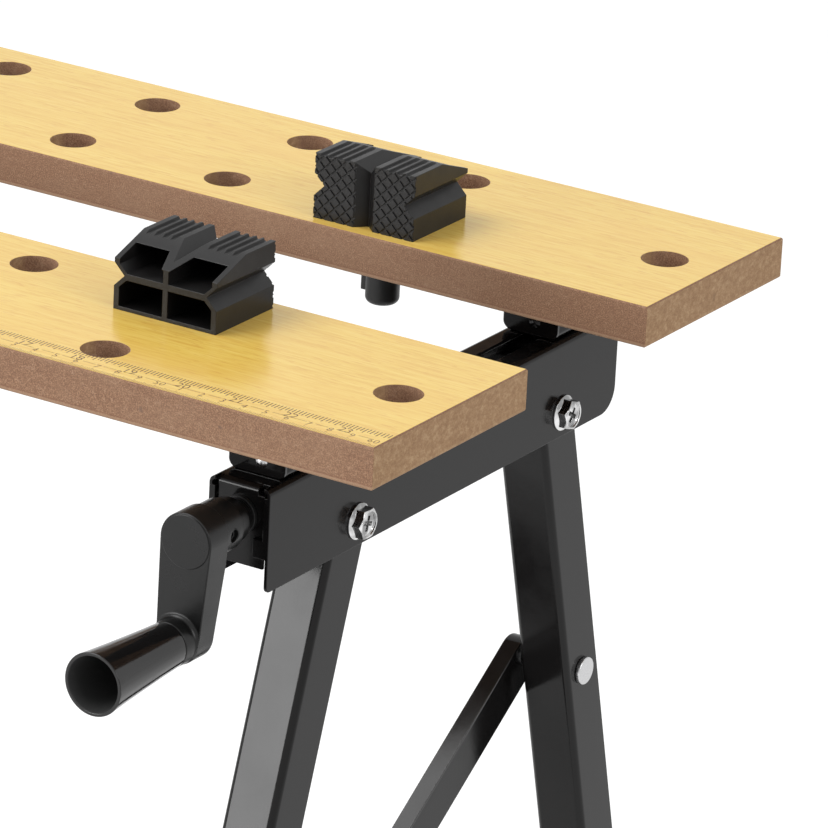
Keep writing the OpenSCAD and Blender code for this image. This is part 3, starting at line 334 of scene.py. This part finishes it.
def own_finishes():
    """Finishes of the nodes that differ from their slot's."""
    own = {"rear_bracket_rivets": MATERIALS["black_steel"]}
    for side in SIDES:
        own[side + "_set_screw"] = DARK_OXIDE
        own[side + "_beam"] = BEAM_PAINT
        for end in ("front", "rear"):
            own["%s_%s_bracket" % (side, end)] = BRACKET_PAINT
            own["%s_%s_peg" % (end, side)] = PEG_PLASTIC
    return own


def weld(o):
    o.modifiers.new("weld", "WELD").merge_threshold = WELD_DISTANCE


def crisp(o):
    """Flat faces with sharp edges, and smooth shading where the surface curves."""
    weld(o)
    for p in o.data.polygons:
        p.use_smooth = True
    split = o.modifiers.new("split", "EDGE_SPLIT")
    split.split_angle = math.radians(24)


def soften(o, width, rim=-1):
    """Rounds the sharp edges and evens out the shading.

    rim is the material slot of the rounded edges, or -1 for that of their faces.
    """
    weld(o)
    flat = o.modifiers.new("flat", "DECIMATE")
    flat.decimate_type = "DISSOLVE"
    flat.angle_limit = math.radians(0.6)
    bevel = o.modifiers.new("bevel", "BEVEL")
    bevel.width = width
    bevel.segments = 2
    bevel.material = rim
    bevel.limit_method = "ANGLE"
    bevel.angle_limit = math.radians(25)
    bevel.use_clamp_overlap = False
    normals = o.modifiers.new("normals", "WEIGHTED_NORMAL")
    normals.mode = "FACE_AREA"


def dress_nodes():
    """Gives each CAD node its material, soft shading and small rounded edges."""
    slots = {p["node"]: p["material_slot"] for p in frame["record"]["subparts"]}
    own = own_finishes()
    for name, o in nodes.items():
        slot = slots[name]
        o.data.materials.clear()
        o.data.materials.append(own.get(name, MATERIALS[slot]))
        if name.endswith("_peg"):
            crisp(o)
        elif name.endswith(("_bracket", "_upper_stay")):
            o.data.materials.append(RIM_PAINT)
            soften(o, RIM_EDGE, 1)
        elif name.startswith("upper_stay"):
            soften(o, STAY_EDGE)
        else:
            soften(o, EDGE_WIDTH.get(slot, SMALL_EDGE))


def line_cups():
    """The inside of each knob's open end is duller than its outside, and painted greyer as painted light in
    the shaded cup.
    """
    neck = 4 * MM
    core_share = 0.6
    for side in SIDES:
        o = nodes[side + "_crank_knob"]
        low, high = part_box(o.name)
        centre, outer = (low + high) / 2, (high.x - low.x) / 2
        o.data.materials.append(CUP_PAINTED_LIGHT)
        for p in o.data.polygons:
            x, z = p.center.x - centre.x, p.center.z - centre.z
            faces_inward = x * p.normal.x + z * p.normal.z < -1e-6
            in_core = math.hypot(x, z) < outer * core_share
            if (faces_inward or in_core) and p.center.y < high.y - neck:
                p.material_index = 1


# New pieces

def add_object(name, data):
    o = bpy.data.objects.new(name, data)
    bpy.context.scene.collection.objects.link(o)
    return o


def add_mesh(name, verts, faces, mat, body):
    """A flat-shaded piece that rides on a body."""
    mesh = bpy.data.meshes.new(name)
    mesh.from_pydata(verts, [], faces)
    mesh.materials.append(mat)
    o = add_object(name, mesh)
    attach(o, body)
    return o


def ring(centre, radius, y, count):
    """Points on a circle round the Y direction."""
    turns = (2 * math.pi * i / count for i in range(count))
    return [(centre.x + radius * math.cos(a), y, centre.z + radius * math.sin(a)) for a in turns]


# Ruler on the front jaw: centimetres at its front edge, inches behind them

CM = 10 * MM
INCH = 25.4 * MM
PRINT_LIFT = 0.03 * MM
ZERO_FROM_RIGHT = 604.2 * MM
INCH_ZERO_SHIFT = 0.8 * MM
CENTIMETRES = 60
MM_MARKS = 605
INCHES = 23
SIXTEENTHS = 23 * 16 + 12
# Half of the width of a mark
MM_MARK_HALF = 0.1 * MM
INCH_MARK_HALF = 0.22 * MM
# Lengths of the marks in millimetres, from the longest to the shortest
MM_MARK_LENGTHS = (3.0, 2.6, 2.0)
INCH_MARK_LENGTHS = (5.0, 4.3, 3.7)
# Distances in millimetres from the jaw's front edge
MM_MARK_START = 0.6
MM_MARK_BASE = 0.7
CM_NUMBERS = 6.1
CM_DASHES = (7.6, 7.8)
INCH_NUMBERS = 9.4
INCH_MARK_END = 16.3


def mark_length(i, steps, lengths):
    """The length that belongs to the first step that divides i, and otherwise the last one."""
    for step, length in zip(steps, lengths):
        if i % step == 0:
            return length
    return lengths[-1]


def ruler_marks(zero, front, top):
    verts, faces = [], []

    def bar(x0, x1, y0, y1):
        k = len(verts)
        verts.extend([(x0, y0, top), (x1, y0, top), (x1, y1, top), (x0, y1, top)])
        faces.append((k, k + 1, k + 2, k + 3))

    def mark(x, half_width, start, end):
        bar(x - half_width, x + half_width, front + start * MM, front + end * MM)

    for i in range(MM_MARKS):
        length = mark_length(i, (10, 5), MM_MARK_LENGTHS)
        mark(zero + i * MM, MM_MARK_HALF, MM_MARK_START, MM_MARK_BASE + length)
    for i in range(SIXTEENTHS):
        length = mark_length(i, (4, 2), INCH_MARK_LENGTHS)
        x = zero + INCH_ZERO_SHIFT + i * INCH / 16
        mark(x, INCH_MARK_HALF, INCH_MARK_END - length, INCH_MARK_END)
    dash_half, dash_shift = 3 * MM, 4.8 * MM
    for i in range(1, CENTIMETRES + 1):
        mark(zero + i * CM - dash_shift, dash_half, *CM_DASHES)
    add_mesh("ruler_marks", verts, faces, INK, "bench_frame")


def number(text, x, y, z, size):
    """A number as flat text, a little thinner than the typeface."""
    data = bpy.data.curves.new("digits", "FONT")
    data.body = text
    data.size = size
    data.align_x = "CENTER"
    data.align_y = "CENTER"
    data.resolution_u = 3
    data.offset = -0.07 * MM
    o = add_object("digits", data)
    o.location = (x, y, z)
    return o


def join_texts(texts):
    """One mesh of all the texts, which are removed."""
    bpy.context.view_layer.update()
    graph = bpy.context.evaluated_depsgraph_get()
    joined = bmesh.new()
    for o in texts:
        mesh = o.evaluated_get(graph).to_mesh()
        mesh.transform(o.matrix_world)
        joined.from_mesh(mesh)
        o.evaluated_get(graph).to_mesh_clear()
    mesh = bpy.data.meshes.new("ruler_numbers")
    joined.to_mesh(mesh)
    joined.free()
    for o in texts:
        data = o.data
        bpy.data.objects.remove(o)
        bpy.data.curves.remove(data)
    return mesh


def ruler_numbers(zero, front, top):
    """Every centimetre has its last digit, and the tens have both."""
    texts = []
    for i in range(1, CENTIMETRES + 1):
        text = str(i) if i % 10 == 0 else str(i % 10)
        texts.append(number(text, zero + i * CM, front + CM_NUMBERS * MM, top, 5.2 * MM))
    for i in range(1, INCHES + 1):
        x = zero + INCH_ZERO_SHIFT + i * INCH
        texts.append(number(str(i), x, front + INCH_NUMBERS * MM, top, 6.4 * MM))
    mesh = join_texts(texts)
    mesh.materials.clear()
    mesh.materials.append(INK)
    o = add_object("ruler_numbers", mesh)
    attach(o, "bench_frame")


def ruler():
    low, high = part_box("front_jaw")
    zero, top = high.x - ZERO_FROM_RIGHT, high.z + PRINT_LIFT
    ruler_marks(zero, low.y, top)
    ruler_numbers(zero, low.y, top)


def arm_cap(side):
    """Moulded disc over the end of the screw, on the outer face of the crank's arm."""
    border, proud, sunk, chamfer, count = 0.7 * MM, 0.3 * MM, 0.2 * MM, 0.3 * MM, 72
    arm_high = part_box(side + "_crank_arm")[1]
    screw_low, screw_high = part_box(side + "_vise_screw")
    centre = (screw_low + screw_high) / 2
    front = min(v.co.y for v in nodes[side + "_crank_arm"].data.vertices if v.co.z > centre.z)
    radius = arm_high.z - centre.z - border
    verts = [(centre.x, front - proud, centre.z)]
    rings = ((radius, front + sunk), (radius, front - proud * 0.6), (radius - chamfer, front - proud))
    for r, y in rings:
        verts.extend(ring(centre, r, y, count))
    faces = []
    for k in range(len(rings) - 1):
        a, b = 1 + k * count, 1 + (k + 1) * count
        for i in range(count):
            j = (i + 1) % count
            faces.append((a + i, a + j, b + j, b + i))
    last = 1 + (len(rings) - 1) * count
    faces.extend((0, last + i, last + (i + 1) % count) for i in range(count))
    add_mesh(side + "_arm_cap", verts, faces, MATERIALS["matt_plastic"], side + "_crank")


def thread(side):
    """Trapezoid thread in place of the plain vise screw."""
    lead, depth, count = 2 * MM, 0.9 * MM, 28
    end_share = 0.88
    # Share of the lead and share of the depth of each corner of the thread's profile
    profile = ((0.0, 0.0), (0.34, 0.0), (0.5, 1.0), (0.84, 1.0))
    low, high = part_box(side + "_vise_screw")
    centre, radius = (low + high) / 2, (high.x - low.x) / 2
    start, end = low.y, high.y
    rows = int((end - start) / lead) * count + 1
    verts, faces = [], []
    for i in range(rows):
        a = 2 * math.pi * i / count
        for share, deep in profile:
            y = min(end, max(start, start + (i / count + share - 1) * lead))
            r = radius - deep * depth
            verts.append((centre.x + r * math.cos(a), y, centre.z + r * math.sin(a)))
    n = len(profile)
    for i in range(rows - 1):
        for j in range(n - 1):
            k = i * n + j
            faces.append((k, k + n, k + n + 1, k + 1))
        if i + count < rows:
            k = i * n + n - 1
            face = (k, k + n, (i + count + 1) * n, (i + count) * n)
            faces.append(face if i + count + 1 < rows else (k, k + n, (i + count) * n))
    for y, outward in ((end, True), (start, False)):
        k = len(verts)
        verts.append((centre.x, y, centre.z))
        verts.extend(ring(centre, radius * end_share, y, count))
        for i in range(count):
            face = (k, k + 1 + i, k + 1 + (i + 1) % count)
            faces.append(face[::-1] if outward else face)
    o = add_mesh(side + "_screw_thread", verts, faces, MATERIALS["zinc_steel"], side + "_crank")
    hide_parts(side + "_vise_screw")


# Surroundings

WORLD_LIGHT = 0.62
FLOOR_GLOW = 0.5
FLOOR_TONE = 0.66
FLOOR_HALF = 30
# Name, place, target, size and power of each lamp
LAMPS = (
    ("key", (-1.6, -2.9, 1.15), (0.1, 0, 0.6), (1.3, 1.0), 44),
    ("top", (-1.2, -0.9, 3.0), (0, 0, 0.7), (1.8, 1.4), 42),
    ("side", (3.0, -0.5, 2.2), (0.1, 0, 0.6), (1.2, 1.2), 24),
)


def seen_directly(tree):
    """1 for rays from the camera, mirrors and glass, 0 for light on the object."""
    path = tree.nodes.new("ShaderNodeLightPath")
    last = path.outputs["Is Camera Ray"]
    for name in ("Is Glossy Ray", "Is Transmission Ray"):
        n = tree.nodes.new("ShaderNodeMath")
        n.operation = "MAXIMUM"
        tree.links.new(last, n.inputs[0])
        tree.links.new(path.outputs[name], n.inputs[1])
        last = n.outputs[0]
    return last


def between(tree, value, low, high):
    n = tree.nodes.new("ShaderNodeMapRange")
    n.inputs["To Min"].default_value = low
    n.inputs["To Max"].default_value = high
    tree.links.new(value, n.inputs["Value"])
    return n.outputs["Result"]


def make_world():
    """White where it is seen, and soft light on the object."""
    world = bpy.data.worlds.new("studio")
    bpy.context.scene.world = world
    world.use_nodes = True
    tree = world.node_tree
    background = tree.nodes["Background"]
    background.inputs["Color"].default_value = (1, 1, 1, 1)
    tree.links.new(between(tree, seen_directly(tree), WORLD_LIGHT, 1.0), background.inputs["Strength"])


def make_floor():
    """Pale floor that glows only where it is seen, so that it turns white but keeps the shadow."""
    h = FLOOR_HALF
    floor = bpy.data.meshes.new("floor")
    floor.from_pydata([(-h, -h, 0), (h, -h, 0), (h, h, 0), (-h, h, 0)], [], [(0, 1, 2, 3)])
    s = Shader("floor", grey(FLOOR_TONE), 0.9, Emission_Color=(1, 1, 1, 1))
    s.to(between(s.tree, seen_directly(s.tree), 0.0, FLOOR_GLOW), "Emission Strength")
    floor.materials.append(s.mat)
    add_object("floor", floor)


def lamp(name, at, target, size, power):
    data = bpy.data.lights.new(name, "AREA")
    data.shape = "RECTANGLE"
    data.size, data.size_y = size
    data.energy = power
    o = add_object(name, data)
    o.location = at
    o.rotation_euler = (Vector(target) - Vector(at)).to_track_quat("-Z", "Y").to_euler()


bpy.context.scene.view_settings.view_transform = "Standard"
make_camera()
dress_nodes()
ruler()
for side_name in SIDES:
    thread(side_name)
    arm_cap(side_name)
line_cups()
make_world()
make_floor()
for each in LAMPS:
    lamp(*each)
